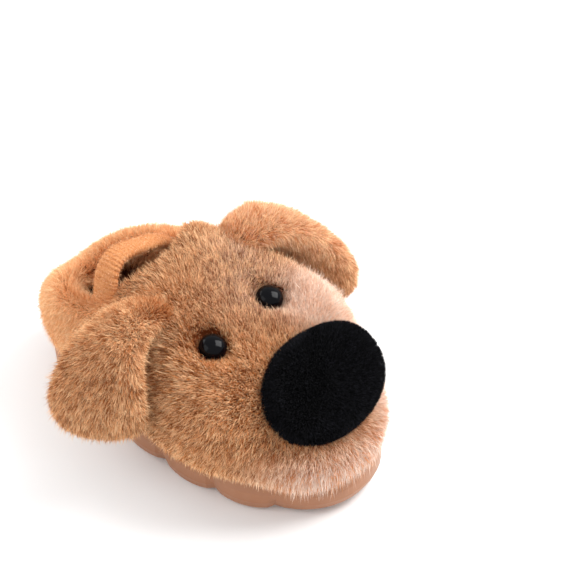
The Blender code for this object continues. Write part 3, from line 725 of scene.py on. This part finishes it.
footbed = cloth_of("insole", FOOTBED_SINK, FOOTBED_SHARE)
footbed_pad = backing("footbed_pad", footbed, backing_finish("footbed_backing", LINING_RED))
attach(footbed_pad, "root")
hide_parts("insole")
bed = scatter(footbed, FOOTBED_DENSITY, 23)
bed = only(bed, (bed.outward[:, 2] > FOOTBED_UP) & (bed.place[:, 1] > FOOTBED_SEEN))
bed_dye = dyed(len(bed.place), LINING_RED, LINING_RED, LINING_TIP)
bed_comb = sway(bed.place, LINING_CURL, 91)
bed_pile = grow_pile("footbed_pile", bed, bed_comb, FOOTBED_PILE, FOOTBED_LIFT, bed_dye,
                     LINING_FIBRE, lining_fibre, 71)
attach(bed_pile, "root")


# The ears: two stuffed flaps of the same plush, sewn on at the sides of the head and hanging down. The one
# on the inner side is a little paler.
EAR_PILE = 0.0056
EAR_SINK = 0.0036
EAR_SHARE = 0.35
EAR_LIFT = (64, 38)
EAR_ROOT_LIFT = (84, 74)        # the pile stands up at the ear's root, so that it has no parting
EAR_ROOT = (0.042, 0.022)       # the root begins and is full at these distances from the middle
EAR_FOLD = (0.030, 0.060)       # and the ear turns down between these
EAR_TOP = (0.045, 0.078)        # the pale ear is palest on top, between these heights
EAR_BURIED = -0.0005            # no pile deeper in the head than this
EAR_PALE = (0.950, 0.710, 0.510)
EARS = (("right_ear", -1, 0.0), ("left_ear", 1, 0.85))      # name, side and how pale

head_tree = BVHTree.FromPolygons(shell.points.tolist(), shell.corners.tolist())


def outside_head(places):
    """Which places aren't inside the stuffed head."""
    found = []
    for place in places.tolist():
        spot, outward = head_tree.find_nearest(place)[:2]
        found.append((Vector(place) - spot).dot(outward) > EAR_BURIED)
    return np.array(found)


for n, (node, ear_side, paleness) in enumerate(EARS):
    flap = cloth_of(node, EAR_SINK, EAR_SHARE)
    ear_cloth = backing(node + "_cloth", flap, plush_backing)
    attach(ear_cloth, "root")
    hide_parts(node)
    hair = scatter(flap, HEAD_DENSITY, 31 + n)
    hair = only(hair, outside_head(hair.place))
    from_middle = abs(hair.place[:, 0])
    over = smooth_step(*EAR_FOLD, from_middle)
    ear_comb = np.stack([ear_side * (1 - 0.85 * over), 0 * over, -0.2 - over], axis=1)
    ear_comb += 0.20 * sway(hair.place, 0.016, 34)
    by_root = smooth_step(*EAR_ROOT, from_middle)[:, None]
    upright = np.array([0.3 * ear_side, -0.3, 0.9])
    hair = hair._replace(outward=unit(between(hair.outward, upright, 0.75 * by_root)))
    ear_lift = between(np.array(EAR_LIFT), np.array(EAR_ROOT_LIFT), by_root)
    ear_dye_and_light = dyed(len(hair.place), ROOT_BROWN, COAT_TAN, TIP_PEACH)
    # Painted highlight: where the pile faces up it is paler, as if lit from above.
    ear_dye_and_light = mixed(ear_dye_and_light, (COAT_TAN, TIP_PEACH, FROST), 0.35 * smooth_step(0.3, 0.95, hair.outward[:, 2]))
    ear_dye_and_light = mixed(ear_dye_and_light, (ROOT_BROWN, COAT_TAN, COAT_TAN), 0.35 * blotches(hair.place, 0.02, 44 + n))
    above = smooth_step(*EAR_TOP, hair.place[:, 2])
    ear_dye_and_light = mixed(ear_dye_and_light, (COAT_TAN, MUZZLE_PALE, EAR_PALE), paleness * (0.35 + 0.65 * above))
    length = EAR_PILE * (0.6 + 0.4 * hair.sink / EAR_SINK) * (1 - 0.15 * by_root[:, 0])
    ear_pile = grow_pile(node + "_pile", hair, ear_comb, length, ear_lift, ear_dye_and_light, COAT_FIBRE, plush, 64 + n)
    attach(ear_pile, "root")


# The nose: a padded oval of black velvet, sewn on the muzzle along its edge. Its pile is short and dense, and
# stands up.
NOSE_BLACK = (0.0015, 0.0015, 0.0020)
NOSE_TIP_BLACK = (0.0040, 0.0040, 0.0055)
NOSE_PILE = 0.0023
NOSE_SINK = 0.0014
NOSE_SHARE = 0.3
NOSE_DENSITY = 8.5e6
NOSE_LIFT = (76, 56)
NOSE_FIBRE = Fibre(width=0.00028, ruffle=0.30, tuft=0.0012, gather=0.10, frost=0.30,
                   pale=(0.020, 0.020, 0.026), stray=0.0)

velvet = pile_finish("black_velvet", roughness=0.8, sheen=0.02, darkest=0.60, lightest=1.30)
pad = cloth_of("nose", NOSE_SINK, NOSE_SHARE)
nose_pad = backing("nose_pad", pad, backing_finish("nose_backing", NOSE_BLACK))
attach(nose_pad, "root")
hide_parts("nose")
nap = scatter(pad, NOSE_DENSITY, 51)
nose_centre = np.array([(low + high) / 2 for low, high in zip(*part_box("nose"))])
nap_comb = unit(nap.place - nose_centre) + 0.5 * sway(nap.place, 0.010, 54)
nap_dye = dyed(len(nap.place), NOSE_BLACK, NOSE_BLACK, NOSE_TIP_BLACK)
nose_pile = grow_pile("nose_pile", nap, nap_comb, NOSE_PILE, NOSE_LIFT, nap_dye, NOSE_FIBRE, velvet, 66)
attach(nose_pile, "root")


# The eyes: two domed black beads of glossy resin, a little smeared. Each is pushed through the cloth on its
# own shank.
BEAD_BLACK = (0.0015, 0.0015, 0.0025)
BEAD_SIDES = 48
BEAD_RADIUS = 0.0060
BEAD_BURIED = 0.0030            # the bead goes this deep under its rim
BEAD_PROFILE = (                # share of the radius, and height over the rim
    (0.90, -0.0030), (1.00, -0.0025), (1.00, -0.0004), (0.985, 0.0006), (0.94, 0.0016), (0.86, 0.0024),
    (0.75, 0.0031), (0.60, 0.0037), (0.42, 0.0042), (0.22, 0.0045), (0.06, 0.0046))


def bead_finish():
    """Polished resin with faint smears."""
    material, shader = finish_of("black_bead", roughness=0.10, specular=0.11)
    place = node_for(material, "ShaderNodeTexCoord")
    smears = node_for(material, "ShaderNodeTexNoise", Scale=600.0, Detail=3.0)
    join(material, place.outputs["Object"], smears.inputs["Vector"])
    wear = node_for(material, "ShaderNodeMapRange", From_Min=0.4, From_Max=0.8, To_Min=0.07, To_Max=0.22)
    join(material, smears.outputs["Fac"], wear.inputs["Value"])
    join(material, wear.outputs["Result"], shader.inputs["Roughness"])
    shader.inputs["Base Color"].default_value = (*BEAD_BLACK, 1.0)
    return material


def bead(node, material):
    """The bead on the axis of its CAD piece."""
    points = np.array([vert.co[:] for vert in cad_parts[node].data.vertices])
    middle = points.mean(axis=0)
    axis = np.linalg.svd(points - middle, full_matrices=False)[2][2]
    axis = Vector(axis if axis[2] > 0 else -axis)
    heights = (points - middle) @ np.array(axis)
    base = Vector(middle) + axis * (heights.min() + BEAD_BURIED)
    bm = bmesh.new()
    rows = []
    turns = [2 * math.pi * k / BEAD_SIDES for k in range(BEAD_SIDES)]
    for share, height in BEAD_PROFILE:
        radius = share * BEAD_RADIUS
        rows.append([bm.verts.new((radius * math.cos(a), radius * math.sin(a), height)) for a in turns])
    for low, high in zip(rows, rows[1:]):
        for k in range(BEAD_SIDES):
            n = (k + 1) % BEAD_SIDES
            bm.faces.new((low[k], low[n], high[n], high[k]))
    bm.faces.new(rows[-1])
    bm.faces.new(rows[0][::-1])
    mesh = bpy.data.meshes.new(node + "_bead")
    bm.to_mesh(mesh)
    bm.free()
    mesh.shade_smooth()
    mesh.transform(Matrix.Translation(base) @ axis.to_track_quat("Z", "Y").to_matrix().to_4x4())
    piece = show(node + "_bead", mesh, material)
    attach(piece, "root")
    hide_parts(node)


black_bead = bead_finish()
for node in ("right_eye", "left_eye"):
    bead(node, black_bead)


# The strap: a soft elastic band with close cross ribs and a brushed face, an arch over the opening whose
# ends are sewn inside the collar.
STRAP_ORANGE = (0.500, 0.180, 0.058)
STRAP_PEACH = (0.680, 0.330, 0.150)
STRAP_FUZZ = (0.780, 0.430, 0.225)
STRAP_SPAN = 0.0259
STRAP_END_HEIGHT = 0.050
STRAP_TOP_HEIGHT = 0.0785
STRAP_BACK = 0.035
STRAP_SKEW = -0.003
STRAP_LEAN = 0.006              # the outer end is sewn this much higher, and the inner one lower
STRAP_TIP = 0.006               # how much more the arch leans that way
STRAP_WIDTH = 0.0130
STRAP_THICKNESS = 0.0055
STRAP_NARROWS = 0.24            # the band is this much narrower on top, where it is stretched
STRAP_STEPS = 400
STRAP_SIDES = 24
ARCH_SQUARENESS = 0.55          # the arch is squarer than a half circle by these powers, across and up
ARCH_SHOULDER = 0.7
BAND_SQUARENESS = 0.8           # and so is the band's own section
RIB_PITCH = 0.0020
RIB_DEPTH = 0.00055
RIB_ROUNDNESS = 0.7
RIB_WANDER = 0.25               # of the pitch
FUZZ_DENSITY = 5.0e6
FUZZ_LENGTH = 0.0013
FUZZ_LIFT = (55, 10)
FUZZ_FIBRE = Fibre(width=0.00015, ruffle=0.80, tuft=0.0010, gather=0.10, frost=0.35,
                   pale=(0.960, 0.660, 0.430), stray=0.05)


def strap_finish():
    """Elastic covered with soft yarn in two dyes."""
    material, shader = finish_of("ribbed_elastic", roughness=0.85, specular=0.05)
    place = node_for(material, "ShaderNodeTexCoord")
    yarn = node_for(material, "ShaderNodeTexNoise", Scale=1100.0, Detail=4.0)
    join(material, place.outputs["Object"], yarn.inputs["Vector"])
    dye = ramp_of(material, yarn.outputs["Fac"], 0.3, STRAP_ORANGE, 0.7, STRAP_PEACH)
    join(material, dye, shader.inputs["Base Color"])
    bump = node_for(material, "ShaderNodeBump", Strength=0.8, Distance=0.0003)
    join(material, yarn.outputs["Fac"], bump.inputs["Height"])
    join(material, bump.outputs["Normal"], shader.inputs["Normal"])
    return material


def squared(turn_share, power):
    """A sine or cosine, bent towards a square's."""
    return np.sign(turn_share) * abs(turn_share) ** power


def strap_band():
    """The band, swept over its arch, with a rib every pitch of its length."""
    turns = np.linspace(0, math.pi, STRAP_STEPS + 1)
    side = squared(np.cos(turns), ARCH_SQUARENESS)
    rise = np.clip(np.sin(turns), 0, 1) ** ARCH_SHOULDER
    height = STRAP_END_HEIGHT + (STRAP_TOP_HEIGHT - STRAP_END_HEIGHT) * rise
    height -= (STRAP_LEAN + STRAP_TIP * rise) * side
    line = np.stack([STRAP_SPAN * side, STRAP_BACK - STRAP_SKEW * side, height], axis=1)
    run = np.concatenate([[0], np.cumsum(np.linalg.norm(np.diff(line, axis=0), axis=1))])
    out = np.stack([np.cos(turns), turns * 0, np.sin(turns)], axis=1)
    half = STRAP_WIDTH / 2 * (1 - STRAP_NARROWS * np.sin(turns) ** 2)
    wave = run / RIB_PITCH + RIB_WANDER * drift(line, 0.006, 77)
    crest = abs(np.cos(math.pi * wave)) ** RIB_ROUNDNESS
    bm = bmesh.new()
    rows = []
    for k in range(STRAP_STEPS + 1):
        ring = []
        shrink = RIB_DEPTH * (1 - crest[k])
        for m in range(STRAP_SIDES):
            b = 2 * math.pi * m / STRAP_SIDES
            wide = squared(math.cos(b), BAND_SQUARENESS) * (half[k] - shrink)
            thick = squared(math.sin(b), BAND_SQUARENESS) * (STRAP_THICKNESS / 2 - shrink)
            point = line[k] + out[k] * thick
            ring.append(bm.verts.new((point[0], point[1] + wide, point[2])))
        rows.append(ring)
    for low, high in zip(rows, rows[1:]):
        for m in range(STRAP_SIDES):
            n = (m + 1) % STRAP_SIDES
            bm.faces.new((low[m], low[n], high[n], high[m]))
    bm.faces.new(rows[-1])
    bm.faces.new(rows[0][::-1])
    bmesh.ops.recalc_face_normals(bm, faces=bm.faces)
    mesh = bpy.data.meshes.new("strap_band")
    bm.to_mesh(mesh)
    bm.free()
    mesh.shade_smooth()
    return show("strap_band", mesh, strap_finish())


strap = strap_band()
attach(strap, "root")
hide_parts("strap")
# The fuzz grows on one triangle of each small facet of the band.
band = Cloth(np.array([list(face.vertices)[:3] for face in strap.data.polygons]),
             np.array([vert.co[:] for vert in strap.data.vertices]),
             np.array([vert.normal[:] for vert in strap.data.vertices]),
             np.zeros(len(strap.data.vertices)))
fuzz = scatter(band, FUZZ_DENSITY, 85)
fuzz_dye = dyed(len(fuzz.place), STRAP_ORANGE, STRAP_PEACH, STRAP_FUZZ)
strap_fuzz = grow_pile("strap_fuzz", fuzz, sway(fuzz.place, 0.003, 86), FUZZ_LENGTH, FUZZ_LIFT, fuzz_dye,
                       FUZZ_FIBRE, plush, 89)
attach(strap_fuzz, "root")


bpy.context.view_layer.update()
